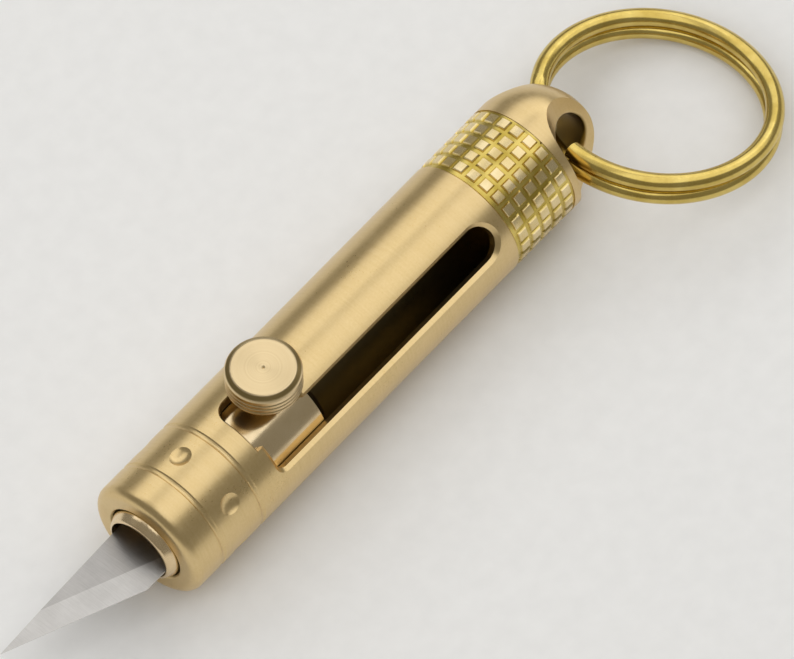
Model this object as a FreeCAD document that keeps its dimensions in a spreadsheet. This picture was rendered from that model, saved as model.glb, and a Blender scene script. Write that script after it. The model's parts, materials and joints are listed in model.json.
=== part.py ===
import FreeCAD, Part
import math
import os
import Sketcher

# Pocket craft knife with a bolt action, on a split key ring.
#
# The row frame: the origin is on the barrel's axis, half way along its body.
# +X runs from the blade to the key ring and +Z points out through the knob.
# Stations called "...At" are measured from the front face towards the ring.
# Angles round the barrel are measured from +Z towards -Y.

doc = FreeCAD.newDocument("BoltKnife")
sheet = doc.addObject("Spreadsheet::Sheet", "Dims")

DIMENSIONS = [
    # the body as a whole
    ("BodyLength", 58.0, "front face to the top of the dome"),
    ("BarrelRadius", 6.0, "outer radius of nose, barrel and tail"),
    ("BoreRadius", 4.8, "bore that the carrier slides in"),
    ("EdgeBreak", 0.15, "small chamfer on turned edges"),
    # nose cap
    ("NoseLength", 8.85, "front face to the seam with the barrel"),
    ("NoseRounding", 0.95, "radius of the front outer edge"),
    ("MouthRadius", 3.87, "hole that the chuck tube comes out of"),
    ("MouthDepth", 2.2, "thickness of the nose's front wall"),
    ("GrooveAt", 3.6, "middle of the decorative groove"),
    ("GrooveWidth", 0.6, "width of the grooves at the surface"),
    ("GrooveWaist", 0.36, "width of the grooves half way down"),
    ("GrooveFloor", 0.12, "width of the grooves at the floor"),
    ("GrooveWaistDepth", 0.09, "how deep the waist lies"),
    ("GrooveDepth", 0.13, "depth of the grooves"),
    ("DimpleAt", 6.1, "middle of the ring of dimples"),
    ("DimpleRadius", 1.05, "radius of a dimple at the surface"),
    ("DimpleDepth", 0.36, "depth of a dimple's middle"),
    ("DimpleAngle", -9.0, "angle of the first dimple"),
    ("ThreadRadius", 5.3, "threaded joint between nose and barrel"),
    ("ThreadGap", 0.02, "radial gap in the threaded joints"),
    ("NoseSpigot", 2.1, "length of the nose's threaded spigot"),
    # barrel
    ("SlotAt", 12.05, "front end of the main slot"),
    ("SlotEnd", 41.7, "rear end of the main slot"),
    ("SlotWidth", 3.5, "width of the main slot"),
    ("SlotAngle", 49.3, "angle of the main slot's middle"),
    ("SlotCorner", 0.9, "corner radius at the slot's front end"),
    ("SlotChamfer", 0.4, "chamfer along the slot's outer edges"),
    ("NotchAt", 11.25, "front edge of the side notch"),
    ("NotchEnd", 17.9, "rear edge of the side notch"),
    ("NotchTurn", 36.0, "angle that the notch reaches, inside the main slot"),
    ("NotchSide", 1.75, "how far the notch reaches past the bolt's axis"),
    ("NotchCorner", 1.6, "radius of the notch's two far corners"),
    ("NotchEdge", 0.12, "small chamfer on the notch's edges"),
    ("SeamAt", 43.25, "seam between barrel and tail cap"),
    ("TailThread", 5.25, "radius of the barrel's rear spigot"),
    ("TailSpigot", 5.0, "length of the barrel's rear spigot"),
    # tail cap
    ("KnurlLead", 0.55, "ring groove ahead of the first row of pads"),
    ("KnurlPitch", 1.45, "row to row"),
    ("KnurlPad", 0.85, "length of a pad along the barrel"),
    ("KnurlDepth", 0.2, "depth of the knurl's grooves"),
    ("KnurlSlope", 0.14, "how far a groove's walls lean out"),
    ("KnurlGroove", 0.62, "width of the lengthwise grooves at the surface"),
    ("KnurlAngle", 7.6, "angle of the first lengthwise groove"),
    ("KnurlTail", 0.3, "ring groove behind the last row"),
    ("LugAngle", 70.0, "direction of the key ring hole"),
    ("ScoopRadius", 4.4, "radius of the two scoops beside the hole"),
    ("ScoopAt", 55.9, "station of the scoops' axis"),
    ("LugHalf", 1.83, "half the lug's thickness at its thinnest"),
    ("RingHoleAt", 54.35, "station of the key ring hole"),
    ("RingHole", 2.5, "radius of the key ring hole"),
    ("RingHoleRim", 0.4, "rounding of the hole's rims"),
    # carrier and bolt
    ("CarrierRadius", 4.74, "slider that fills the bore"),
    ("CarrierAt", 10.4, "front face of the carrier"),
    ("CarrierEnd", 19.5, "rear face of the carrier"),
    ("CarrierChamfer", 0.7, "chamfer at the carrier's rear"),
    ("ChuckThread", 3.0, "threaded bore in the carrier's front"),
    ("ChuckDepth", 3.4, "depth of that bore"),
    ("BoltAt", 16.2, "station of the bolt's axis"),
    ("StemRadius", 1.65, "outer radius of the bolt's stem"),
    ("StemCore", 1.2, "radius of the stem's two plain ends"),
    ("StemFoot", 2.6, "height of the stem's lower end"),
    ("StemSeat", 4.4, "height of the flat the stem stands on"),
    ("StemTop", 8.3, "height of the stem's upper end"),
    ("SeatGap", 0.1, "room round the stem on its flat"),
    ("EndGap", 0.1, "room beyond the end of a threaded piece"),
    ("RidgePitch", 0.55, "spacing of the ridges on the stem"),
    ("RidgeDepth", 0.22, "depth of the grooves between them"),
    ("KnobUnder", 6.5, "height of the knob's underside"),
    ("KnobShoulder", 8.48, "height where the knob's side ends"),
    ("KnobRim", 8.7, "height where the knob's chamfer starts"),
    ("KnobTop", 9.0, "height of the knob's face"),
    ("KnobRadius", 3.45, "radius of the knob's side"),
    ("KnobRimRadius", 3.32, "radius where the knob's chamfer starts"),
    ("KnobFace", 2.9, "radius of the knob's flat face"),
    ("KnobBreak", 0.05, "rounding of the knob's edges"),
    ("KnobRingAt", 6.9, "height of the lowest fine groove on the knob's side"),
    ("KnobRingPitch", 0.52, "spacing of those grooves"),
    ("KnobRingWidth", 0.22, "width of those grooves"),
    ("KnobRingDepth", 0.08, "depth of those grooves"),
    ("KnobPip", 0.18, "radius of the small turned point in the knob's face"),
    ("KnobPipDepth", 0.1, "depth of that point"),
    # chuck, jaws and blade
    ("TubeRadius", 3.75, "outside of the chuck tube"),
    ("TubeBore", 3.12, "inside of the chuck tube"),
    ("TubeLip", 0.85, "how far the tube stands out of the nose"),
    ("TubeEdge", 0.2, "width of the lip's front face before rounding"),
    ("TubeCrest", 0.3, "rounding of the lip's front"),
    ("TubeShoulder", 1.2, "rounding where the lip meets the tube's side"),
    ("TubeThroat", 2.4, "inside of the tube's tapered rear"),
    ("TaperAt", 8.0, "station where the tube's taper starts"),
    ("TaperEnd", 10.5, "station where the taper ends"),
    ("JawAt", 2.6, "front of the two jaws"),
    ("JawEnd", 13.3, "rear of the two jaws"),
    ("JawGap", 0.05, "gap between the jaws and the tube"),
    ("BladeTop", -0.15, "height of the blade's upper face"),
    ("BladeThick", 0.45, "thickness of the blade"),
    ("BladeReach", 16.35, "tip of the blade, ahead of the front face"),
    ("BladeBack", 2.97, "back edge of the shank"),
    ("BladeBelly", 3.03, "other edge of the shank"),
    ("TipSide", 2.55, "how far the tip lies to the back's side"),
    ("HeelAt", 3.8, "heel of the cutting edge, ahead of the front face"),
    ("HeelSide", 2.8, "how far the heel lies to the other side"),
    ("BladeEnd", 8.0, "rear end of the shank"),
    ("BevelWidth", 2.3, "width of the ground bevel"),
    ("EdgeThick", 0.04, "thickness left at the cutting edge"),
    # spring and washer
    ("SpringRadius", 4.27, "mean radius of the return spring"),
    ("SpringWire", 0.22, "radius of its wire"),
    ("SpringPitch", 1.017, "pitch of its coils while compressed"),
    ("WasherThick", 0.6, "thickness of the thrust washer"),
    ("WasherHole", 3.85, "inside of the thrust washer"),
    ("WasherRadius", 4.7, "outside of the thrust washer"),
    # key ring
    ("RingMean", 10.44, "mean radius of the split ring"),
    ("WireHalf", 0.86, "half the wire's width, across the ring"),
    ("WireHigh", 0.76, "half the wire's height, along the ring's axis"),
    ("TurnGap", 0.02, "gap between the ring's two turns"),
    ("RingStep", 34.0, "angle over which the wire steps to the other turn"),
    ("RingNearGap", 17.0, "angle from the step to the upper turn's free end"),
    ("RingFarGap", 4.0, "angle from the step to the lower turn's free end"),
    ("RingSide", -4.44, "the ring's centre to the side"),
    ("RingAt", 63.53, "station of the ring's centre"),
    ("RingDrop", -2.03, "height of the ring's centre"),
    ("RingPitchAngle", 15.65, "tilt of the ring's plane, far end down"),
    ("RingRollAngle", -3.15, "tilt of the ring's plane, sideways"),
    ("RingStepAngle", 122.0, "where round the ring the step starts, inside the hole"),
]

for line, (alias, value, meaning) in enumerate(DIMENSIONS, start=1):
    sheet.set("A%d" % line, meaning)
    sheet.set("B%d" % line, str(value))
    sheet.setAlias("B%d" % line, alias)
doc.recompute()

MIDDLE = "Dims.BodyLength / 2"
DIMPLES = 6
KNURL_ROWS = 5
KNURL_COLUMNS = 25
STEM_RIDGES = 4
KNOB_RINGS = 3
SPRING_TURNS = 7
KEY_AXIS = FreeCAD.Vector(1, 0, 0)


def size(alias):
    """The number that a cell of the sheet holds."""
    return float(sheet.get(alias))


def named(obj, label):
    """Give a finished sub-part its node name."""
    obj.Label = label
    return obj


def origin_plane(body, role):
    """One of a body's own origin planes."""
    return [f for f in body.Origin.OriginFeatures if f.Role == role][0]


def sketch_on(body, label, role="XY_Plane", turn=0.0):
    """A sketch on a body's plane, turned about the local X axis by an angle."""
    sketch = body.newObject("Sketcher::SketchObject", label)
    sketch.AttachmentSupport = [(origin_plane(body, role), "")]
    sketch.MapMode = "FlatFace"
    rotation = FreeCAD.Rotation(KEY_AXIS, turn)
    sketch.AttachmentOffset = FreeCAD.Placement(FreeCAD.Vector(), rotation)
    return sketch


def pin_vertex(sketch, index, across, up):
    """Hold the start of a sketch's edge at two distances from the origin."""
    for kind, rule, axis in (("DistanceX", across, -2), ("DistanceY", up, -1)):
        if rule == "0":
            sketch.addConstraint(Sketcher.Constraint("PointOnObject", index, 1, axis))
        else:
            row = sketch.addConstraint(Sketcher.Constraint(kind, -1, 1, index, 1, 1.0))
            sketch.setExpression("Constraints[%d]" % row, rule)


def draw_outline(sketch, corners):
    """A closed outline of straight edges through corners given as expressions."""
    count = len(corners)
    for i in range(count):
        angle = 2 * math.pi * i / count
        after = 2 * math.pi * (i + 1) / count
        start = FreeCAD.Vector(10 + math.cos(angle), 10 + math.sin(angle), 0)
        end = FreeCAD.Vector(10 + math.cos(after), 10 + math.sin(after), 0)
        sketch.addGeometry(Part.LineSegment(start, end), False)
    for i in range(count):
        link = Sketcher.Constraint("Coincident", i, 2, (i + 1) % count, 1)
        sketch.addConstraint(link)
    for i, (across, up) in enumerate(corners):
        pin_vertex(sketch, i, across, up)


def turned(label, corners):
    """A body turned about its local X axis from a half outline."""
    body = doc.addObject("PartDesign::Body", label)
    sketch = sketch_on(body, label + "_outline")
    draw_outline(sketch, corners)
    solid = body.newObject("PartDesign::Revolution", label + "_turned")
    solid.Profile = sketch
    solid.ReferenceAxis = (sketch, ["H_Axis"])
    solid.Angle = 360
    doc.recompute()
    return body


def place(obj, station, height="0", rotation=None):
    """Put a sub-part at a station, with its own rotation."""
    obj.Placement = FreeCAD.Placement(FreeCAD.Vector(), rotation or FreeCAD.Rotation())
    obj.setExpression("Placement.Base.x", "%s - %s" % (station, MIDDLE))
    if height != "0":
        obj.setExpression("Placement.Base.z", height)


def find_edges(shape, test):
    """Names of the edges whose middle passes a test."""
    found = []
    for i, edge in enumerate(shape.Edges, start=1):
        middle = edge.valueAt((edge.FirstParameter + edge.LastParameter) / 2)
        if test(edge, middle):
            found.append("Edge%d" % i)
    return found


def dress(body, kind, label, edges, rule):
    """Fillet or chamfer some edges of a body's last feature."""
    base = body.Tip
    feature = body.newObject("PartDesign::" + kind, label)
    feature.Base = (base, edges)
    feature.setExpression("Radius" if kind == "Fillet" else "Size", rule)
    doc.recompute()
    return feature


def rod(label, radius, length, placement):
    """A plain cylinder along the local Z axis, as a cutting tool."""
    tool = doc.addObject("Part::Cylinder", label)
    tool.setExpression("Radius", radius)
    tool.setExpression("Height", length)
    tool.Placement = placement
    return tool


def cut(label, base, tools):
    """Take one or more tools away from a base."""
    if len(tools) == 1:
        tool = tools[0]
    else:
        tool = doc.addObject("Part::MultiFuse", label + "_tools")
        tool.Shapes = tools
    result = doc.addObject("Part::Cut", label)
    result.Base = base
    result.Tool = tool
    doc.recompute()
    return result


def radial(angle):
    """Turns the local Z axis outwards, at an angle round the barrel."""
    return FreeCAD.Rotation(KEY_AXIS, angle)


def radius_at(point):
    """Distance of a point from the barrel's axis."""
    return math.hypot(point.y, point.z)


# ---------------------------------------------------------------- nose cap

def make_nose_cap():
    surface = "Dims.BarrelRadius"
    waist = "Dims.BarrelRadius - Dims.GrooveWaistDepth"
    floor = "Dims.BarrelRadius - Dims.GrooveDepth"
    spigot = "Dims.ThreadRadius - Dims.ThreadGap"
    end = "Dims.NoseLength + Dims.NoseSpigot"
    body = turned("nose_blank", [
        ("0", "Dims.MouthRadius + Dims.EdgeBreak"),
        ("0", surface),
        ("Dims.GrooveAt - Dims.GrooveWidth / 2", surface),
        ("Dims.GrooveAt - Dims.GrooveWaist / 2", waist),
        ("Dims.GrooveAt - Dims.GrooveFloor / 2", floor),
        ("Dims.GrooveAt + Dims.GrooveFloor / 2", floor),
        ("Dims.GrooveAt + Dims.GrooveWaist / 2", waist),
        ("Dims.GrooveAt + Dims.GrooveWidth / 2", surface),
        ("Dims.NoseLength - Dims.GrooveWidth / 2", surface),
        ("Dims.NoseLength - Dims.GrooveWaist / 2", waist),
        ("Dims.NoseLength - Dims.GrooveFloor / 2", floor),
        ("Dims.NoseLength", floor),
        ("Dims.NoseLength", spigot),
        (end + " - Dims.EdgeBreak", spigot),
        (end, spigot + " - Dims.EdgeBreak"),
        (end, "Dims.BoreRadius"),
        ("Dims.MouthDepth", "Dims.BoreRadius"),
        ("Dims.MouthDepth", "Dims.MouthRadius"),
        ("Dims.EdgeBreak", "Dims.MouthRadius"),
    ])
    front = find_edges(body.Shape, lambda e, p: p.x < 0.01 and radius_at(p) > 5.9)
    dress(body, "Fillet", "nose_rounding", front, "Dims.NoseRounding")
    balls = []
    radius, depth = size("DimpleRadius"), size("DimpleDepth")
    ball_radius = (radius ** 2 + depth ** 2) / (2 * depth)
    for i in range(DIMPLES):
        turn = radial(size("DimpleAngle") + 360.0 / DIMPLES * i)
        ball = doc.addObject("Part::Sphere", "dimple_%d" % (i + 1))
        ball.setExpression("Radius", "(Dims.DimpleRadius ^ 2 + Dims.DimpleDepth ^ 2)"
                           " / (2 * Dims.DimpleDepth)")
        height = size("BarrelRadius") - depth + ball_radius
        centre = turn.multVec(FreeCAD.Vector(0, 0, height))
        centre.x = size("DimpleAt")
        ball.Placement = FreeCAD.Placement(centre, turn)
        balls.append(ball)
    cap = cut("nose_cap", body, balls)
    place(cap, "0")
    return named(cap, "nose_cap")


# ------------------------------------------------------------------ barrel

def rounded_slot(sketch, front, end, half):
    """Slot with square front corners and a full round rear end."""
    near = FreeCAD.Vector(1, -1, 0)
    far = FreeCAD.Vector(9, -1, 0)
    sketch.addGeometry(Part.LineSegment(near, far), False)
    arc = Part.ArcOfCircle(
        Part.Circle(FreeCAD.Vector(9, 0, 0), FreeCAD.Vector(0, 0, 1), 1.0),
        -math.pi / 2,
        math.pi / 2,
    )
    sketch.addGeometry(arc, False)
    far_top = FreeCAD.Vector(9, 1, 0)
    near_top = FreeCAD.Vector(1, 1, 0)
    sketch.addGeometry(Part.LineSegment(far_top, near_top), False)
    sketch.addGeometry(Part.LineSegment(near_top, near), False)
    for first, second in ((0, 1), (1, 2)):
        sketch.addConstraint(Sketcher.Constraint("Tangent", first, 2, second, 1))
    for first, second in ((2, 3), (3, 0)):
        sketch.addConstraint(Sketcher.Constraint("Coincident", first, 2, second, 1))
    sketch.addConstraint(Sketcher.Constraint("Horizontal", 0))
    sketch.addConstraint(Sketcher.Constraint("Horizontal", 2))
    sketch.addConstraint(Sketcher.Constraint("Vertical", 3))
    sketch.addConstraint(Sketcher.Constraint("PointOnObject", 1, 3, -1))
    rules = (
        (Sketcher.Constraint("DistanceX", -1, 1, 3, 1, 1.0), front),
        (Sketcher.Constraint("DistanceX", -1, 1, 1, 3, 9.0), "%s - %s" % (end, half)),
        (Sketcher.Constraint("Radius", 1, 1.0), half),
    )
    for constraint, rule in rules:
        row = sketch.addConstraint(constraint)
        sketch.setExpression("Constraints[%d]" % row, rule)


def make_barrel():
    surface = "Dims.BarrelRadius"
    waist = "Dims.BarrelRadius - Dims.GrooveWaistDepth"
    floor = "Dims.BarrelRadius - Dims.GrooveDepth"
    seam = "Dims.SeamAt - Dims.NoseLength"
    end = seam + " + Dims.TailSpigot"
    spigot = "Dims.TailThread - Dims.ThreadGap"
    socket = "Dims.NoseSpigot + Dims.ThreadGap"
    body = turned("barrel", [
        ("0", "Dims.ThreadRadius"),
        ("0", floor),
        ("Dims.GrooveFloor / 2", floor),
        ("Dims.GrooveWaist / 2", waist),
        ("Dims.GrooveWidth / 2", surface),
        (seam + " - Dims.EdgeBreak", surface),
        (seam, surface + " - Dims.EdgeBreak"),
        (seam, spigot),
        (end + " - Dims.EdgeBreak", spigot),
        (end, spigot + " - Dims.EdgeBreak"),
        (end, "Dims.BoreRadius"),
        (socket, "Dims.BoreRadius"),
        (socket, "Dims.ThreadRadius"),
    ])
    whole = body.Shape.Volume

    slot = sketch_on(body, "main_slot_outline", turn=size("SlotAngle"))
    front = "Dims.SlotAt - Dims.NoseLength"
    rounded_slot(slot, front, "Dims.SlotEnd - Dims.NoseLength", "Dims.SlotWidth / 2")
    pocket = body.newObject("PartDesign::Pocket", "main_slot")
    pocket.Profile = slot
    pocket.Reversed = True
    pocket.setExpression("Length", "Dims.BarrelRadius + 1")
    doc.recompute()

    start = size("SlotAt") - size("NoseLength")
    notch_start = size("NotchAt") - size("NoseLength")
    stop = size("NotchEnd") - size("NoseLength")
    slot_end = size("SlotEnd") - size("NoseLength")

    def angle_of(point):
        return math.degrees(math.atan2(-point.y, point.z))

    def is_wall_corner(edge):
        straight = edge.Curve.TypeId == "Part::GeomLine"
        return straight and 1.0 < edge.Length < 2.2

    inner = find_edges(body.Shape, lambda e, p: is_wall_corner(e)
                       and angle_of(p) > size("SlotAngle") + 10
                       and abs(p.x - start) < 0.01)
    dress(body, "Fillet", "slot_corner", inner, "Dims.SlotCorner")
    rim = find_edges(body.Shape, lambda e, p: radius_at(p) > 5.9
                     and start - 0.01 < p.x < slot_end + 0.01
                     and e.BoundBox.XLength < slot_end - start + 1)
    dress(body, "Chamfer", "slot_rim", rim, "Dims.SlotChamfer")

    front = "Dims.NotchAt - Dims.NoseLength"
    back = "Dims.NotchEnd - Dims.NoseLength"
    window = sketch_on(body, "notch_outline", turn=90)
    draw_outline(window, [
        (front, "Dims.BoreRadius - 1"),
        (back, "Dims.BoreRadius - 1"),
        (back, "Dims.BarrelRadius + 1"),
        (front, "Dims.BarrelRadius + 1"),
    ])
    notch = body.newObject("PartDesign::Groove", "side_notch")
    notch.Profile = window
    notch.ReferenceAxis = (window, ["H_Axis"])
    notch.setExpression("Angle", "Dims.NotchTurn")
    doc.recompute()

    recess = sketch_on(body, "notch_recess_outline")
    draw_outline(recess, [
        (front, "-Dims.NotchSide"),
        (back, "-Dims.NotchSide"),
        (back, "Dims.NotchSide"),
        (front, "Dims.NotchSide"),
    ])
    milled = body.newObject("PartDesign::Pocket", "notch_recess")
    milled.Profile = recess
    milled.Reversed = True
    milled.setExpression("Length", "Dims.BarrelRadius + 1")
    doc.recompute()
    if body.Shape.Volume > whole - 100:
        raise RuntimeError("the slot and the notch did not cut the barrel")

    corners = find_edges(body.Shape, lambda e, p: is_wall_corner(e)
                         and abs(p.y - size("NotchSide")) < 0.01
                         and min(abs(p.x - notch_start), abs(p.x - stop)) < 0.01)
    dress(body, "Fillet", "notch_corners", corners, "Dims.NotchCorner")
    outer = find_edges(body.Shape, lambda e, p: radius_at(p) > 5.95
                       and notch_start - 0.01 < p.x < stop + 0.01
                       and e.BoundBox.XLength < stop - notch_start + 0.1
                       and -25 < angle_of(p) < 26)
    dress(body, "Chamfer", "notch_rim", outer, "Dims.NotchEdge")
    place(body, "Dims.NoseLength")
    return named(body, "barrel")


# ---------------------------------------------------------------- tail cap

def make_tail_cap():
    surface = "Dims.BarrelRadius"
    floor = "Dims.BarrelRadius - Dims.KnurlDepth"
    corners = [("Dims.TailSpigot + 0.2", "0"), ("Dims.TailSpigot + 0.2", "Dims.TailThread")]
    corners += [("0", "Dims.TailThread"), ("0", floor)]
    for row in range(KNURL_ROWS):
        start = "Dims.KnurlLead + %d * Dims.KnurlPitch" % row
        stop = start + " + Dims.KnurlPad"
        corners += [
            (start + " - Dims.KnurlSlope", floor),
            (start, surface),
            (stop, surface),
            (stop + " + Dims.KnurlSlope", floor),
        ]
    last = stop + " + Dims.KnurlTail"
    dome = "Dims.BodyLength - Dims.BarrelRadius - Dims.SeamAt"
    corners += [(last, floor), (last, surface), (dome, surface), (dome, "0")]
    body = turned("tail_turned", corners)

    groove_end = sketch_on(body, "knurl_groove_outline", role="YZ_Plane")
    spin = FreeCAD.Rotation(FreeCAD.Vector(0, 0, 1), size("KnurlAngle"))
    start = FreeCAD.Vector(0, 0, size("KnurlLead") / 2)
    groove_end.AttachmentOffset = FreeCAD.Placement(start, spin)
    lip = "Dims.KnurlGroove / 2 + Dims.KnurlSlope"
    foot = "Dims.KnurlGroove / 2 - Dims.KnurlSlope"
    rise = "Dims.BarrelRadius + Dims.KnurlDepth"
    draw_wedge(groove_end, foot, floor, lip, rise)
    groove = body.newObject("PartDesign::Pocket", "knurl_groove")
    groove.Profile = groove_end
    groove.Reversed = True
    groove.setExpression("Length", last + " - Dims.KnurlLead / 2")
    whole = body.Shape.Volume
    doc.recompute()
    if body.Shape.Volume > whole - 0.3:
        raise RuntimeError("the first knurl groove did not cut the tail cap")
    whole = body.Shape.Volume
    pattern = body.newObject("PartDesign::PolarPattern", "knurl")
    pattern.Originals = [groove]
    x_axis = origin_plane(body, "X_Axis")
    pattern.Axis = (x_axis, [""])
    pattern.Angle = 360
    pattern.Occurrences = KNURL_COLUMNS
    body.Tip = pattern
    doc.recompute()
    if body.Shape.Volume > whole - 5:
        raise RuntimeError("the knurl did not cut the tail cap")

    ball = doc.addObject("Part::Sphere", "dome")
    ball.setExpression("Radius", "Dims.BarrelRadius")
    ball.setExpression("Placement.Base.x", dome)
    blank = doc.addObject("Part::MultiFuse", "tail_blank")
    blank.Shapes = [body, ball]
    doc.recompute()

    lug = size("LugAngle")
    out = radial(lug)
    along_lug = FreeCAD.Rotation(FreeCAD.Vector(0, 0, 1), out.multVec(FreeCAD.Vector(0, 1, 0)))
    away = size("LugHalf") + size("ScoopRadius")
    tools = []
    for side in (1, -1):
        centre = out.multVec(FreeCAD.Vector(0, 0, side * away))
        centre -= out.multVec(FreeCAD.Vector(0, 10, 0))
        centre.x = size("ScoopAt") - size("SeamAt")
        spot = FreeCAD.Placement(centre, along_lug)
        tools.append(rod("scoop", "Dims.ScoopRadius", "20", spot))
    foot = out.multVec(FreeCAD.Vector(0, 0, -10))
    foot.x = size("RingHoleAt") - size("SeamAt")
    hole = rod("ring_hole", "Dims.RingHole", "20", FreeCAD.Placement(foot, out))
    drilled = cut("tail_drilled", blank, tools + [hole])

    def on_rim(edge, point):
        across = out.inverted().multVec(point)
        spread = math.hypot(across.x - foot.x, across.y)
        return abs(spread - size("RingHole")) < 0.01 and edge.Length > 1.0 and is_curve(edge)

    def is_curve(edge):
        return edge.Curve.TypeId != "Part::GeomLine"

    rims = [int(name[4:]) for name in find_edges(drilled.Shape, on_rim)]
    cap = doc.addObject("Part::Fillet", "tail_cap")
    cap.Base = drilled
    rounding = size("RingHoleRim")
    cap.Edges = [(number, rounding, rounding) for number in rims]
    doc.recompute()
    place(cap, "Dims.SeamAt")
    return named(cap, "tail_cap")


def draw_wedge(sketch, foot, low, lip, high):
    """A trapezium on the sketch's vertical axis, narrow end down."""
    points = [(-1, 3), (1, 3), (2, 5), (-2, 5)]
    for i, (x, y) in enumerate(points):
        x_next, y_next = points[(i + 1) % 4]
        edge = Part.LineSegment(FreeCAD.Vector(x, y, 0), FreeCAD.Vector(x_next, y_next, 0))
        sketch.addGeometry(edge, False)
    for i in range(4):
        sketch.addConstraint(Sketcher.Constraint("Coincident", i, 2, (i + 1) % 4, 1))
    for i in (0, 2):
        sketch.addConstraint(Sketcher.Constraint("Symmetric", i, 1, i, 2, -2))
    rules = (
        (Sketcher.Constraint("DistanceX", 0, 1, 0, 2, 2.0), "2 * (%s)" % foot),
        (Sketcher.Constraint("DistanceX", 2, 2, 2, 1, 4.0), "2 * (%s)" % lip),
        (Sketcher.Constraint("DistanceY", -1, 1, 0, 1, 3.0), low),
        (Sketcher.Constraint("DistanceY", -1, 1, 2, 1, 5.0), high),
    )
    for constraint, rule in rules:
        row = sketch.addConstraint(constraint)
        sketch.setExpression("Constraints[%d]" % row, rule)


# ---------------------------------------------------------- carrier and bolt

def upright():
    """Turns a turned body's axis to point straight up."""
    return FreeCAD.Rotation(FreeCAD.Vector(0, 1, 0), -90)


def make_carrier():
    surface = "Dims.CarrierRadius"
    length = "Dims.CarrierEnd - Dims.CarrierAt"
    body = turned("carrier_turned", [
        ("0", "Dims.ChuckThread"),
        ("0", surface + " - 2 * Dims.EdgeBreak"),
        ("2 * Dims.EdgeBreak", surface),
        (length + " - Dims.CarrierChamfer", surface),
        (length, surface + " - Dims.CarrierChamfer"),
        (length, "0"),
        ("Dims.ChuckDepth", "0"),
        ("Dims.ChuckDepth", "Dims.ChuckThread"),
    ])
    station = size("BoltAt") - size("CarrierAt")
    upward = FreeCAD.Rotation()
    seat = FreeCAD.Placement(FreeCAD.Vector(station, 0, size("StemSeat")), upward)
    bottom = size("StemFoot") - size("EndGap")
    drill = FreeCAD.Placement(FreeCAD.Vector(station, 0, bottom), upward)
    tools = [
        rod("stem_seat", "Dims.StemRadius + Dims.SeatGap", "2", seat),
        rod("stem_hole", "Dims.StemCore + Dims.ThreadGap", "5", drill),
    ]
    carrier = cut("carrier", body, tools)
    place(carrier, "Dims.CarrierAt")
    return named(carrier, "blade_carrier")


def make_bolt_stem():
    core = "Dims.StemCore"
    crest = "Dims.StemRadius"
    root = "Dims.StemRadius - Dims.RidgeDepth"
    corners = [("Dims.StemFoot", "0"), ("Dims.StemFoot", core), ("Dims.StemSeat", core)]
    corners.append(("Dims.StemSeat", crest))
    for ridge in range(STEM_RIDGES):
        base = "Dims.StemSeat + %d * Dims.RidgePitch" % ridge
        corners.append((base + " + 0.3 * Dims.RidgePitch", crest))
        corners.append((base + " + 0.6 * Dims.RidgePitch", root))
        corners.append((base + " + 0.7 * Dims.RidgePitch", root))
        corners.append((base + " + Dims.RidgePitch", crest))
    corners[-1] = ("Dims.KnobUnder", crest)
    corners += [("Dims.KnobUnder", core), ("Dims.StemTop", core), ("Dims.StemTop", "0")]
    stem = turned("bolt_stem", corners)
    place(stem, "Dims.BoltAt", rotation=upright())
    return named(stem, "bolt_stem")


def make_bolt_knob():
    hole = "Dims.StemCore + Dims.ThreadGap"
    side = "Dims.KnobRadius"
    corners = [
        ("Dims.KnobUnder", hole),
        ("Dims.KnobUnder", side + " - 2 * Dims.KnobBreak"),
        ("Dims.KnobUnder + 2 * Dims.KnobBreak", side),
    ]
    for ring in range(KNOB_RINGS):
        middle = "Dims.KnobRingAt + %d * Dims.KnobRingPitch" % ring
        corners.append((middle + " - Dims.KnobRingWidth / 2", side))
        corners.append((middle, side + " - Dims.KnobRingDepth"))
        corners.append((middle + " + Dims.KnobRingWidth / 2", side))
    corners += [
        ("Dims.KnobShoulder", side),
        ("Dims.KnobRim", "Dims.KnobRimRadius"),
        ("Dims.KnobTop - Dims.KnobBreak", "Dims.KnobFace + Dims.KnobBreak"),
        ("Dims.KnobTop", "Dims.KnobFace - Dims.KnobBreak"),
        ("Dims.KnobTop", "Dims.KnobPip"),
        ("Dims.KnobTop - Dims.KnobPipDepth", "0"),
        ("Dims.StemTop + Dims.EndGap", "0"),
        ("Dims.StemTop + Dims.EndGap", hole),
    ]
    knob = turned("bolt_knob", corners)
    place(knob, "Dims.BoltAt", rotation=upright())
    return named(knob, "bolt_knob")


# ------------------------------------------------------ chuck, jaws and blade

def make_chuck_tube():
    base = "Dims.TubeLip"
    outer = "Dims.TubeRadius"
    spigot = "Dims.ChuckThread - Dims.ThreadGap"
    shoulder = base + " + Dims.CarrierAt"
    end = shoulder + " + Dims.ChuckDepth - Dims.EndGap"
    body = turned("chuck_turned", [
        ("0", "Dims.TubeBore"),
        ("0", "Dims.TubeBore + Dims.TubeEdge"),
        (base, outer),
        (shoulder, outer),
        (shoulder, spigot),
        (end, spigot),
        (end, "Dims.TubeThroat"),
        (base + " + Dims.TaperEnd", "Dims.TubeThroat"),
        (base + " + Dims.TaperAt", "Dims.TubeBore"),
    ])
    crest = size("TubeBore") + size("TubeEdge")
    lip = find_edges(body.Shape, lambda e, p: p.x < 0.01 and radius_at(p) > crest - 0.01)
    dress(body, "Fillet", "chuck_lip", lip, "Dims.TubeCrest")
    shoulder_edge = find_edges(body.Shape, lambda e, p: abs(p.x - size("TubeLip")) < 0.01
                               and radius_at(p) > size("TubeRadius") - 0.01)
    dress(body, "Fillet", "chuck_shoulder", shoulder_edge, "Dims.TubeShoulder")
    place(body, "-Dims.TubeLip")
    return named(body, "chuck_tube")


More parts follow.
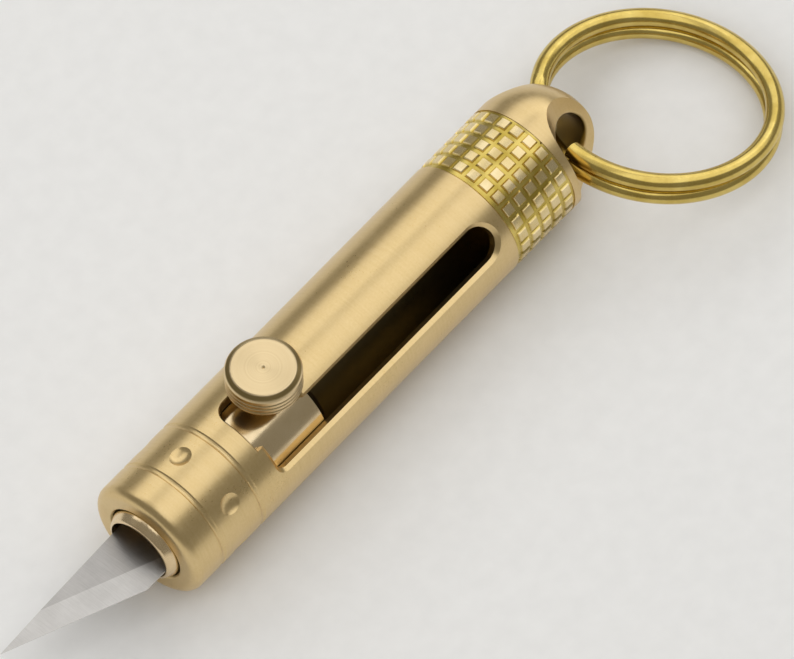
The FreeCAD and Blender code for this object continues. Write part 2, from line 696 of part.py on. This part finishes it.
def make_jaws():
    gap = "Dims.JawGap"
    outer = "Dims.TubeBore - " + gap
    inner = "Dims.TubeThroat - " + gap
    length = "Dims.JawEnd - Dims.JawAt"
    jaws = []
    halves = (("upper_jaw", "Dims.BladeTop"), ("lower_jaw", "Dims.BladeTop - Dims.BladeThick - 8"))
    for label, floor in halves:
        blank = turned(label + "_turned", [
            ("0", "0"),
            ("0", outer + " - Dims.EdgeBreak"),
            ("Dims.EdgeBreak", outer),
            ("Dims.TaperAt - Dims.JawAt", outer),
            ("Dims.TaperEnd - Dims.JawAt", inner),
            (length, inner),
            (length, "0"),
        ])
        half = doc.addObject("Part::Box", label + "_half")
        half.setExpression("Length", length)
        half.Width = 8
        half.Height = 8
        half.Placement.Base.y = -4
        half.setExpression("Placement.Base.z", floor)
        jaw = doc.addObject("Part::Common", label)
        jaw.Base = blank
        jaw.Tool = half
        doc.recompute()
        place(jaw, "Dims.JawAt")
        jaws.append(named(jaw, label))
    return jaws


def make_blade():
    """Flat blade with a ground bevel on each face, lying parallel to XY."""
    reach = "Dims.BladeReach"
    end = reach + " + Dims.BladeEnd"
    body = doc.addObject("PartDesign::Body", "blade_flat")
    sketch = sketch_on(body, "blade_outline")
    shift = "Dims.BladeBelly"
    draw_outline(sketch, [
        ("0", shift + " + Dims.TipSide"),
        (reach + " - Dims.HeelAt", shift + " - Dims.HeelSide"),
        (reach + " - Dims.HeelAt + 0.4", "0"),
        (end, "0"),
        (end, shift + " + Dims.BladeBack"),
        (reach, shift + " + Dims.BladeBack"),
    ])
    pad = body.newObject("PartDesign::Pad", "blade_pad")
    pad.Profile = sketch
    pad.setExpression("Length", "Dims.BladeThick")
    doc.recompute()

    tip = FreeCAD.Vector(0, size("BladeBelly") + size("TipSide"), 0)
    heel_x = size("BladeReach") - size("HeelAt")
    heel = FreeCAD.Vector(heel_x, size("BladeBelly") - size("HeelSide"), 0)
    along = (heel - tip).normalize()
    inward = FreeCAD.Vector(-along.y, along.x, 0)
    half = size("BladeThick") / 2
    rise = half - size("EdgeThick") / 2
    thick = size("BladeThick")
    tools = []
    for name, outside in (("upper_bevel", 1), ("lower_bevel", -1)):
        face = thick if outside > 0 else 0.0
        edge = face - outside * rise
        start = tip - along * 6
        profile = [
            start + FreeCAD.Vector(0, 0, edge),
            start + inward * size("BevelWidth") + FreeCAD.Vector(0, 0, face),
            start + inward * size("BevelWidth") + FreeCAD.Vector(0, 0, face + outside),
            start - inward * 3 + FreeCAD.Vector(0, 0, face + outside),
            start - inward * 3 + FreeCAD.Vector(0, 0, edge),
        ]
        wedge = doc.addObject("Part::Feature", name)
        wedge.Shape = Part.Face(Part.makePolygon(profile + profile[:1])).extrude(along * 30)
        tools.append(wedge)
    blade = cut("blade", body, tools)
    place(blade, "-Dims.BladeReach", height="Dims.BladeTop - Dims.BladeThick")
    blade.setExpression("Placement.Base.y", "-Dims.BladeBelly")
    return named(blade, "blade")


# ---------------------------------------------------------- spring and washer

def make_spring():
    """Coil spring of tilted half turns, between the nose's wall and the washer."""
    rise = size("SpringPitch") / 4
    radius = "sqrt(Dims.SpringRadius ^ 2 + (Dims.SpringPitch / 4) ^ 2)"
    tilt = math.degrees(math.atan2(rise, size("SpringRadius")))
    lean = FreeCAD.Rotation(FreeCAD.Vector(0, 1, 0), tilt)
    halves = []
    for i in range(2 * SPRING_TURNS):
        side = FreeCAD.Rotation(FreeCAD.Vector(0, 0, 1), 180 * (i % 2))
        half = doc.addObject("Part::Torus", "spring_half_turn")
        half.setExpression("Radius1", radius)
        half.setExpression("Radius2", "Dims.SpringWire")
        half.Angle3 = 180
        half.Placement = FreeCAD.Placement(FreeCAD.Vector(), side.multiply(lean))
        half.setExpression("Placement.Base.z", "%.1f * Dims.SpringPitch / 2" % (i + 0.5))
        halves.append(half)
    spring = doc.addObject("Part::MultiFuse", "spring_coil")
    spring.Shapes = halves
    doc.recompute()
    turn = FreeCAD.Rotation(FreeCAD.Vector(0, 1, 0), 90)
    place(spring, "Dims.MouthDepth + Dims.SpringWire + Dims.ThreadGap", rotation=turn)
    return named(spring, "return_spring")


def make_washer():
    washer = turned("thrust_washer", [
        ("0", "Dims.WasherHole"),
        ("0", "Dims.WasherRadius"),
        ("Dims.WasherThick", "Dims.WasherRadius"),
        ("Dims.WasherThick", "Dims.WasherHole"),
    ])
    place(washer, "Dims.CarrierAt - Dims.WasherThick")
    return named(washer, "thrust_washer")


# ------------------------------------------------------------------ key ring

def wire_section(angle, height):
    """Oval section of the wire at an angle round the ring, as a closed wire."""
    oval = Part.Ellipse(FreeCAD.Vector(), size("WireHalf"), size("WireHigh")).toShape()
    oval.Placement = FreeCAD.Placement(
        FreeCAD.Vector(size("RingMean"), 0, height),
        FreeCAD.Rotation(FreeCAD.Vector(1, 0, 0), 90),
    )
    ring = Part.Wire([oval])
    ring.rotate(FreeCAD.Vector(), FreeCAD.Vector(0, 0, 1), angle)
    return ring


def make_split_ring():
    """Two turns of one oval wire, joined by a smooth step down."""
    rise = size("WireHigh") + size("TurnGap") / 2
    step = size("RingStep")
    above = 360 - step - size("RingNearGap")
    below = 360 - step - size("RingFarGap")
    axis = FreeCAD.Vector(0, 0, 1)

    upper = Part.Face(wire_section(-above, rise)).revolve(FreeCAD.Vector(), axis, above)
    lower = Part.Face(wire_section(step, -rise)).revolve(FreeCAD.Vector(), axis, below)
    stations = 9
    sections = []
    for i in range(stations):
        share = i / (stations - 1)
        smooth = share * share * (3 - 2 * share)
        sections.append(wire_section(step * share, rise * (1 - 2 * smooth)))
    link = Part.makeLoft(sections, True, False)
    ring = doc.addObject("Part::Feature", "split_ring")
    ring.Shape = lower.fuse([link, upper]).removeSplitter()
    turn = FreeCAD.Rotation(FreeCAD.Vector(0, 1, 0), size("RingPitchAngle"))
    turn = turn.multiply(FreeCAD.Rotation(FreeCAD.Vector(1, 0, 0), size("RingRollAngle")))
    turn = turn.multiply(FreeCAD.Rotation(axis, size("RingStepAngle")))
    place(ring, "Dims.RingAt", height="Dims.RingDrop", rotation=turn)
    ring.setExpression("Placement.Base.y", "Dims.RingSide")
    return named(ring, "split_ring")


parts = [make_nose_cap(), make_barrel(), make_tail_cap()]
parts += [make_carrier(), make_bolt_stem(), make_bolt_knob()]
parts += [make_chuck_tube(), make_blade()] + make_jaws()
parts += [make_spring(), make_washer(), make_split_ring()]
doc.recompute()

for obj in doc.Objects:
    if "Invalid" in obj.State or "Error" in obj.State:
        raise RuntimeError("%s was left in the state %s" % (obj.Label, obj.State))
for part in parts:
    shape = part.Shape
    if shape.isNull() or not shape.isValid() or len(shape.Solids) != 1:
        raise RuntimeError("%s is not one sound solid" % part.Label)
    box = shape.BoundBox
    print("%-14s %9.2f mm3  X %7.2f..%7.2f  Y %6.2f..%6.2f  Z %6.2f..%6.2f" % (
        part.Label, shape.Volume, box.XMin, box.XMax, box.YMin, box.YMax, box.ZMin, box.ZMax))

os.makedirs("parts", exist_ok=True)
for part in parts:
    part.Shape.exportStep("parts/%s.step" % part.Label)
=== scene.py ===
import json
import math

import bpy
from mathutils import Matrix, Vector


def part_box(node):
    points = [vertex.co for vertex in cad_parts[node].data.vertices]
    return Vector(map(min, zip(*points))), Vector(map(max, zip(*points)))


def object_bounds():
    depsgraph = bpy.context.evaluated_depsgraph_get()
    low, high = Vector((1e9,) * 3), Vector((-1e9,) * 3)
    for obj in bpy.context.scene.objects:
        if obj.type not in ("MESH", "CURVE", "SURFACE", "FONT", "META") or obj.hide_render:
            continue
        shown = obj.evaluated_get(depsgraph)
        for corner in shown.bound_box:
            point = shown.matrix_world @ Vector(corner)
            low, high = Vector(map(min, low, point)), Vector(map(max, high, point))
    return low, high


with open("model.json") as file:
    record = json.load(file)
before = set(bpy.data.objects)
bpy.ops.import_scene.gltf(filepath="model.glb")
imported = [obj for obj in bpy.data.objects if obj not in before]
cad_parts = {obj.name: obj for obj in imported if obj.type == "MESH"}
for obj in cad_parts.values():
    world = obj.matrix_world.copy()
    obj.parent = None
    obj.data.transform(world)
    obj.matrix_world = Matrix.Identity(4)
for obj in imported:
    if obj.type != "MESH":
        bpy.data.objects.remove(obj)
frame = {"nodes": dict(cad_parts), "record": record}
cad_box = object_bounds()

MM = 0.001
scene = bpy.context.scene

# -------------------------------------------------------------- the object

# In metres.
FRONT_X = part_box("nose_cap")[0].x
TABLE_Z = cad_box[0].z

# In millimetres, as the materials' coordinates are. The blade's tip and heel,
# the two ends of its cutting edge, are given by their X and Y.
BARREL_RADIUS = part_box("barrel")[1].y / MM
BORE_RADIUS = 4.8
MOUTH_RADIUS = 3.87
BAND_LENGTH = 7.5
BAND_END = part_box("tail_cap")[0].x / MM + BAND_LENGTH
knob_low, knob_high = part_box("bolt_knob")
KNOB_X = (knob_low.x + knob_high.x) / 2 / MM
KNOB_TOP = knob_high.z / MM
KNOB_RADIUS = (knob_high.y - knob_low.y) / 2 / MM
BLADE_TIP = (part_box("blade")[0].x / MM, 2.55)
BLADE_HEEL = (BLADE_TIP[0] + 12.55, -2.8)
BEVEL_WIDTH = 2.3
swing = [joint for joint in frame["record"]["behaviour"]["joints"] if joint["name"] == "ring_swing"][0]
RING_HOLE_X = swing["pos_m"][0] / MM
RING_HOLE_AXIS = swing["axis"]
RING_HOLE_RADIUS = 2.5

# ----------------------------------------------------------------- colours

# A pair is a material's darker and lighter tone.
SATIN = (0.69, 0.51, 0.24), (0.77, 0.59, 0.31)
PADS = (0.74, 0.58, 0.27), (0.86, 0.71, 0.42)
# Painted shade: the grooves' tone is darker and yellower than the pads', standing in for shade in the
# knurl's recesses.
SHADED_GROOVES = (0.50, 0.37, 0.07), (0.72, 0.56, 0.16)
SLIDER = (0.74, 0.58, 0.35), (0.82, 0.66, 0.42)
STEM = (0.72, 0.53, 0.25), (0.82, 0.64, 0.35)
TUBE = (0.76, 0.58, 0.34), (0.86, 0.69, 0.44)
RING = (0.58, 0.42, 0.10), (0.74, 0.57, 0.18)
KNOB = (0.78, 0.60, 0.33), (0.88, 0.71, 0.44)
BLADE_FLAT = (0.40, 0.385, 0.375), (0.55, 0.535, 0.52)
BLADE_BEVEL = (0.54, 0.525, 0.51), (0.70, 0.685, 0.67)
WIRE = (0.34, 0.33, 0.33), (0.52, 0.51, 0.50)
PAPER = (0.90, 0.90, 0.90), (0.93, 0.93, 0.93)
# Painted shade: dark tones put inside the bore and the mouth, in the ring's hole, and on the knob's
# chamfer and under its rim.
BORE_SHADE = (0.40, 0.31, 0.14)
HOLE_SHADE = (0.22, 0.16, 0.06)
KNOB_SHADE = (0.26, 0.18, 0.05)
KNOB_SHADE_AMOUNT = 0.8

# ---------------------------------------------------------------- patterns

# Noise: repeats per millimetre along X, Y and Z, then detail and roughness.
TURNING = (5.0, 0.3, 0.3), 3.0, 0.6
GRAIN = (4.5, 4.5, 4.5), 2.0, 0.6
CLOUDS = (0.16, 0.3, 0.3), 3.0, 0.55
PATCHES = (0.55, 0.55, 0.55), 2.0, 0.5
TARNISH = (0.5, 0.5, 0.5), 4.0, 0.6
HAIRLINES = (5.0, 1.0, 1.0), 2.0, 0.5
KNOB_GRAIN = (5.0, 5.0, 5.0), 2.0, 0.5
GRINDING = (10.0, 0.5, 2.0), 4.0, 0.7
STAINS = (0.35, 0.35, 0.35), 4.0, 0.6
DRAWING = (3.0, 3.0, 3.0), 3.0, 0.6
FIBRES = (0.5, 0.5, 0.5), 3.0, 0.5

# The same for the knob's rings, whose repeats run outwards from its own axis.
KNOB_RINGS = 7.0, 3.0, 0.65

# How much turning, grain and clouds count in the satin brass's tone.
TONE_WEIGHTS = 0.32, 0.36, 0.32

# The part of a noise's range that spreads over the two tones or roughnesses.
NOISE_RANGE = 0.3, 0.7
TONE_RANGE = 0.34, 0.66
MOTTLE_RANGE = 0.35, 0.65

# Roughness at the two ends of that range.
SATIN_ROUGHNESS = 0.26, 0.37
DOME_ROUGHNESS = 0.28, 0.36
BAND_ROUGHNESS = 0.30, 0.22
SLIDER_ROUGHNESS = 0.22, 0.15
BRIGHT_ROUGHNESS = 0.25, 0.18
KNOB_ROUGHNESS = 0.29, 0.36
BLADE_ROUGHNESS = 0.30, 0.40
WIRE_ROUGHNESS = 0.22, 0.34
PAPER_ROUGHNESS = 0.9
KNOB_ANISOTROPY = 0.75

# Bump: depth in millimetres and strength.
TURNING_BUMP = 0.004, 0.12
SLIDER_BUMP = 0.002, 0.1
HAIRLINE_BUMP = 0.002, 0.4
KNOB_BUMP = 0.010, 0.6
GRINDING_BUMP = 0.010, 0.6
WIRE_BUMP = 0.003, 0.4

# Where a change of tone starts and ends, in millimetres past its edge.
BORE_BLEND = 0.04, 0.14
PAD_BLEND = -0.15, -0.04
BAND_BLEND = -0.05, 0.05
HOLE_BLEND = 0.03, 0.25
BEVEL_BLEND = -0.04, 0.02
KNOB_FACE_BLEND = -0.10, -0.03
KNOB_CHAMFER_BLEND = -0.40, -0.26
KNOB_RIM_BLEND = -0.75, -0.65
KNOB_GROOVE_BLEND = -0.06, -0.01

# A Mix node has its own sockets for each kind: inputs A and B, and the result.
MIX_SOCKETS = {"FLOAT": (2, 3, 0), "RGBA": (6, 7, 2)}


# --------------------------------------------------------------- materials

class Graph:
    """Short calls that build one material's nodes, with lengths in millimetres."""

    def __init__(self, name):
        self.material = bpy.data.materials.new(name)
        self.material.use_nodes = True
        self.tree = self.material.node_tree
        self.tree.nodes.clear()
        self.shader = self.node("ShaderNodeBsdfPrincipled")
        self.put(self.node("ShaderNodeOutputMaterial").inputs["Surface"], self.shader.outputs[0])

    def node(self, kind, **settings):
        made = self.tree.nodes.new(kind)
        for key, value in settings.items():
            setattr(made, key, value)
        return made

    def put(self, socket, value):
        """Link a socket, or set it to a plain value; an RGB triple is opaque."""
        if isinstance(value, bpy.types.NodeSocket):
            self.tree.links.new(value, socket)
        elif isinstance(value, tuple):
            socket.default_value = (*value, 1.0)
        else:
            socket.default_value = value

    def position(self, scale=(1.0, 1.0, 1.0)):
        """The object's own coordinates in millimetres, stretched by a scale."""
        coordinates = self.node("ShaderNodeTexCoord")
        mapping = self.node("ShaderNodeMapping")
        self.put(mapping.inputs["Scale"], [factor / MM for factor in scale])
        self.put(mapping.inputs["Vector"], coordinates.outputs["Object"])
        return mapping.outputs[0]

    def place(self):
        """The object's own coordinates in millimetres, one by one."""
        made = self.node("ShaderNodeSeparateXYZ")
        self.put(made.inputs[0], self.position())
        return made.outputs["X"], made.outputs["Y"], made.outputs["Z"]

    def noise_at(self, vector, scale, detail, roughness):
        made = self.node("ShaderNodeTexNoise")
        self.put(made.inputs["Vector"], vector)
        self.put(made.inputs["Scale"], scale)
        self.put(made.inputs["Detail"], detail)
        self.put(made.inputs["Roughness"], roughness)
        return made.outputs["Fac"]

    def noise(self, stretch, detail, roughness):
        return self.noise_at(self.position(stretch), 1.0, detail, roughness)

    def spread(self, value, low, high, to_low=0.0, to_high=1.0):
        """A value's range moved to another one, held at its ends."""
        made = self.node("ShaderNodeMapRange", clamp=True)
        self.put(made.inputs["Value"], value)
        self.put(made.inputs["From Min"], low)
        self.put(made.inputs["From Max"], high)
        self.put(made.inputs["To Min"], to_low)
        self.put(made.inputs["To Max"], to_high)
        return made.outputs[0]

    def above(self, value, edge, blend):
        """1 above an edge and 0 below it, with a blend past the edge."""
        return self.spread(value, edge + blend[0], edge + blend[1])

    def below(self, value, edge, blend):
        """1 below an edge and 0 above it, with a blend past the edge."""
        return self.spread(value, edge + blend[0], edge + blend[1], 1.0, 0.0)

    def math(self, operation, first, second=0.0):
        made = self.node("ShaderNodeMath", operation=operation)
        self.put(made.inputs[0], first)
        self.put(made.inputs[1], second)
        return made.outputs[0]

    def total(self, *weighted):
        """The sum of values, each given with its weight."""
        products = [self.math("MULTIPLY", value, weight) for value, weight in weighted]
        result = products[0]
        for product in products[1:]:
            result = self.math("ADD", result, product)
        return result

    def average(self, first, second):
        return self.total((first, 0.5), (second, 0.5))

    def length(self, first, second):
        """The distance that two coordinates at right angles give."""
        return self.math("SQRT", self.total((first, first), (second, second)))

    def mix(self, factor, first, second, kind="RGBA"):
        """Between two colours, or between two numbers if the kind is FLOAT."""
        made = self.node("ShaderNodeMix", data_type=kind)
        input_a, input_b, result = MIX_SOCKETS[kind]
        self.put(made.inputs["Factor"], factor)
        self.put(made.inputs[input_a], first)
        self.put(made.inputs[input_b], second)
        return made.outputs[result]

    def bump(self, height, depth, strength):
        made = self.node("ShaderNodeBump")
        self.put(made.inputs["Strength"], strength)
        self.put(made.inputs["Distance"], depth * MM)
        self.put(made.inputs["Height"], height)
        return made.outputs[0]

    def finish(self, colour, roughness, normal=None, metallic=1.0, anisotropic=0.0):
        shader = self.shader.inputs
        self.put(shader["Base Color"], colour)
        self.put(shader["Roughness"], roughness)
        self.put(shader["Metallic"], metallic)
        self.put(shader["Anisotropic"], anisotropic)
        if normal is not None:
            self.put(shader["Normal"], normal)
        return self.material


def satin_tone(g):
    """Turning marks, grain and slow clouds of the satin brass, and their colour."""
    turning = g.noise(*TURNING)
    grain = g.noise(*GRAIN)
    clouds = g.noise(*CLOUDS)
    tone = g.total(*zip((turning, grain, clouds), TONE_WEIGHTS))
    return turning, grain, clouds, g.mix(g.spread(tone, *TONE_RANGE), *SATIN)


def satin_brass(name, wall):
    """Turned and brushed brass, with painted shade darkening it within the radius of its inner wall."""
    g = Graph(name)
    turning, grain, clouds, satin = satin_tone(g)
    _, y, z = g.place()
    # Painted shade: inside the inner wall's radius the colour turns to the dark bore tone.
    colour = g.mix(g.below(g.length(y, z), wall, BORE_BLEND), satin, BORE_SHADE)
    roughness = g.spread(g.average(grain, clouds), *NOISE_RANGE, *SATIN_ROUGHNESS)
    return g.finish(colour, roughness, g.bump(turning, *TURNING_BUMP))


def smooth_brass(name, tones, rough=BRIGHT_ROUGHNESS, scratch=HAIRLINE_BUMP):
    """Polished brass with a slow change of tone and hairline scratches."""
    g = Graph(name)
    tarnish = g.noise(*TARNISH)
    colour = g.mix(g.spread(tarnish, *NOISE_RANGE), *tones)
    roughness = g.spread(tarnish, *NOISE_RANGE, *rough)
    return g.finish(colour, roughness, g.bump(g.noise(*HAIRLINES), *scratch))


def tail_brass():
    """Satin on the dome, tan pads over darker, yellower grooves on the band, and painted shade in the
    grooves and in the ring's hole.
    """
    g = Graph("brass_tail")
    turning, grain, _, satin = satin_tone(g)
    patches = g.noise(*PATCHES)
    mottle = g.spread(patches, *MOTTLE_RANGE)
    x, y, z = g.place()
    on_pad = g.above(g.length(y, z), BARREL_RADIUS, PAD_BLEND)
    # Painted shade: below the pads' radius the band takes the darker, yellower groove tone.
    band = g.mix(on_pad, g.mix(mottle, *SHADED_GROOVES), g.mix(mottle, *PADS))
    on_band = g.below(x, BAND_END, BAND_BLEND)
    along = g.math("SUBTRACT", x, RING_HOLE_X)
    aside = g.total((y, RING_HOLE_AXIS[2]), (z, -RING_HOLE_AXIS[1]))
    # Painted shade: the ring's hole is darkened to the dark hole tone.
    in_hole = g.below(g.length(along, aside), RING_HOLE_RADIUS, HOLE_BLEND)
    colour = g.mix(in_hole, g.mix(on_band, satin, band), HOLE_SHADE)
    dome_roughness = g.spread(grain, *NOISE_RANGE, *DOME_ROUGHNESS)
    band_roughness = g.spread(patches, *NOISE_RANGE, *BAND_ROUGHNESS)
    roughness = g.mix(on_band, dome_roughness, band_roughness, "FLOAT")
    return g.finish(colour, roughness, g.bump(turning, *TURNING_BUMP))


def knob_brass():
    """Turned knob: rings round its own axis and the fan-shaped sheen they give."""
    g = Graph("brass_knob")
    x, y, z = g.place()
    radius = g.length(g.math("SUBTRACT", x, KNOB_X), y)
    ring_place = g.node("ShaderNodeCombineXYZ")
    g.put(ring_place.inputs["X"], radius)
    g.put(ring_place.inputs["Y"], z)
    rings = g.noise_at(ring_place.outputs[0], *KNOB_RINGS)
    # Painted shade: the chamfer below the face, and the grooves and underside below the rim, are
    # darkened towards the knob's shade tone.
    below_face = g.below(z, KNOB_TOP, KNOB_FACE_BLEND)
    on_chamfer = g.math("MULTIPLY", below_face, g.above(z, KNOB_TOP, KNOB_CHAMFER_BLEND))
    within_side = g.below(radius, KNOB_RADIUS, KNOB_GROOVE_BLEND)
    in_groove = g.math("MULTIPLY", within_side, g.below(z, KNOB_TOP, KNOB_RIM_BLEND))
    shaded = g.math("MULTIPLY", g.math("MAXIMUM", on_chamfer, in_groove), KNOB_SHADE_AMOUNT)
    colour = g.mix(shaded, g.mix(g.spread(rings, *NOISE_RANGE), *KNOB), KNOB_SHADE)
    roughness = g.spread(g.noise(*KNOB_GRAIN), *NOISE_RANGE, *KNOB_ROUGHNESS)
    tangent = g.node("ShaderNodeTangent", direction_type="RADIAL", axis="Z")
    g.put(g.shader.inputs["Tangent"], tangent.outputs[0])
    return g.finish(colour, roughness, g.bump(rings, *KNOB_BUMP), anisotropic=KNOB_ANISOTROPY)


def blade_steel():
    """Blade steel: grinding marks across the width, stains, and a brighter bevel."""
    g = Graph("steel_blade")
    marks = g.noise(*GRINDING)
    stains = g.noise(*STAINS)
    tone = g.spread(g.average(marks, stains), *NOISE_RANGE)
    run, rise = BLADE_HEEL[0] - BLADE_TIP[0], BLADE_HEEL[1] - BLADE_TIP[1]
    edge_length = math.hypot(run, rise)
    x, y, _ = g.place()
    from_edge = g.total((g.math("SUBTRACT", x, BLADE_TIP[0]), -rise / edge_length),
                        (g.math("SUBTRACT", y, BLADE_TIP[1]), run / edge_length))
    on_bevel = g.below(from_edge, BEVEL_WIDTH, BEVEL_BLEND)
    colour = g.mix(on_bevel, g.mix(tone, *BLADE_FLAT), g.mix(tone, *BLADE_BEVEL))
    roughness = g.spread(stains, *NOISE_RANGE, *BLADE_ROUGHNESS)
    return g.finish(colour, roughness, g.bump(marks, *GRINDING_BUMP))


def wire_steel():
    """Drawn steel of the spring and its washer."""
    g = Graph("steel_spring")
    drawing = g.noise(*DRAWING)
    colour = g.mix(g.spread(drawing, *NOISE_RANGE), *WIRE)
    roughness = g.spread(drawing, *NOISE_RANGE, *WIRE_ROUGHNESS)
    return g.finish(colour, roughness, g.bump(drawing, *WIRE_BUMP))


def pale_floor():
    """Pale matt paper with a trace of fibre."""
    g = Graph("floor_paper")
    colour = g.mix(g.spread(g.noise(*FIBRES), *NOISE_RANGE), *PAPER)
    return g.finish(colour, PAPER_ROUGHNESS, metallic=0.0)


stem_brass = smooth_brass("brass_stem", STEM)
spring_steel = wire_steel()

NODE_MATERIALS = {
    "nose_cap": satin_brass("brass_satin", MOUTH_RADIUS),
    "barrel": satin_brass("brass_barrel", BORE_RADIUS),
    "tail_cap": tail_brass(),
    "blade_carrier": smooth_brass("brass_slider", SLIDER, SLIDER_ROUGHNESS, SLIDER_BUMP),
    "bolt_stem": stem_brass,
    "bolt_knob": knob_brass(),
    "chuck_tube": smooth_brass("brass_tube", TUBE),
    "upper_jaw": stem_brass,
    "lower_jaw": stem_brass,
    "blade": blade_steel(),
    "return_spring": spring_steel,
    "thrust_washer": spring_steel,
    "split_ring": smooth_brass("brass_ring", RING),
}
for node_name, material in NODE_MATERIALS.items():
    mesh = frame["nodes"][node_name].data
    mesh.materials.clear()
    mesh.materials.append(material)


# ------------------------------------------------------- floor and lights

# In metres.
FLOOR_HALF = 1.5

WORLD_COLOUR = (1.0, 0.96, 0.86, 1.0)
WORLD_STRENGTH = 0.26


def make_floor():
    mesh = bpy.data.meshes.new("floor")
    corners = [(-1, -1), (1, -1), (1, 1), (-1, 1)]
    mesh.from_pydata([(x * FLOOR_HALF, y * FLOOR_HALF, 0) for x, y in corners], [], [(0, 1, 2, 3)])
    floor = bpy.data.objects.new("floor", mesh)
    scene.collection.objects.link(floor)
    floor.location = (0, 0, TABLE_Z)
    mesh.materials.append(pale_floor())


def softbox(name, angle, distance, width, power, length=0.9, lean=0.38):
    """An area light facing the origin, long in the barrel's direction.

    The angle turns it round the barrel, in degrees from the knob towards the
    slot, and the lean, the X part of its direction, moves it towards the ring.
    The sizes are in metres and the power is in watts.
    """
    turn = math.radians(angle)
    level = math.sqrt(1 - lean * lean)
    direction = Vector((lean, -math.sin(turn) * level, math.cos(turn) * level))
    data = bpy.data.lights.new(name, "AREA")
    data.shape = "RECTANGLE"
    data.size = length
    data.size_y = width
    data.energy = power
    light = bpy.data.objects.new(name, data)
    light.location = direction * distance
    scene.collection.objects.link(light)
    side = Vector((1, 0, 0)).cross(direction).normalized()
    along = direction.cross(side).normalized()
    light.rotation_mode = "QUATERNION"
    light.rotation_quaternion = Matrix((along, -side, direction)).transposed().to_quaternion()
    return light


def make_lights():
    """A key from above, two strips on the side away from the slot, and a floor fill."""
    softbox("key_box", angle=11.0, distance=0.50, width=0.37, power=0.98)
    softbox("bridge_box", angle=-20.0, distance=0.52, width=0.18, power=0.22)
    softbox("side_box", angle=-42.0, distance=0.50, width=0.28, power=0.72)
    fill = softbox("floor_fill", angle=10.0, distance=0.80, width=0.7, power=2.2, length=0.7, lean=-0.75)
    fill.visible_glossy = False
    world = bpy.data.worlds.new("studio")
    scene.world = world
    world.use_nodes = True
    background = world.node_tree.nodes["Background"]
    background.inputs["Color"].default_value = WORLD_COLOUR
    background.inputs["Strength"].default_value = WORLD_STRENGTH


# ------------------------------------------------------------------ camera

FRAME_WIDTH = 794
PIXELS_PER_METRE = 11500.0

# In millimetres: a long lens, which makes the view almost parallel.
LENS = 1200.0
SENSOR = 36.0

# In degrees: how far the view leans towards the blade's end, how far it turns
# round the barrel from the knob to the slot, and the barrel's slope in it.
VIEW_LEAN = 22.5
VIEW_TURN = 22.9
BARREL_SLOPE = 45.357

# In millimetres: the frame's centre from the front face, in the view's plane.
CENTRE_ALONG = 28.638
CENTRE_ACROSS = 2.484

# In metres.
CLIP_START = 0.05
CLIP_END = 20.0


def make_camera():
    """Long lens from above the blade's end, on the long slot's side."""
    lean, turn, slope = (math.radians(angle) for angle in (VIEW_LEAN, VIEW_TURN, BARREL_SLOPE))
    outward = Vector((0, -math.sin(turn), math.cos(turn)))
    across = Vector((0, -math.cos(turn), -math.sin(turn)))
    along = Vector((math.cos(lean), 0, 0)) + outward * math.sin(lean)
    right = along * math.cos(slope) + across * math.sin(slope)
    up = along * math.sin(slope) - across * math.cos(slope)
    back = right.cross(up)
    centre = Vector((FRONT_X, 0, 0)) + along * CENTRE_ALONG * MM + across * CENTRE_ACROSS * MM
    data = bpy.data.cameras.new("camera")
    data.lens = LENS
    data.sensor_width = SENSOR
    data.dof.use_dof = False
    data.clip_start = CLIP_START
    data.clip_end = CLIP_END
    camera = bpy.data.objects.new("camera", data)
    camera.location = centre + back * (FRAME_WIDTH / PIXELS_PER_METRE * LENS / SENSOR)
    camera.rotation_mode = "QUATERNION"
    camera.rotation_quaternion = Matrix((right, up, back)).transposed().to_quaternion()
    scene.collection.objects.link(camera)
    scene.camera = camera


make_floor()
make_lights()
make_camera()
scene.view_settings.view_transform = "Standard"
scene.view_settings.look = "None"
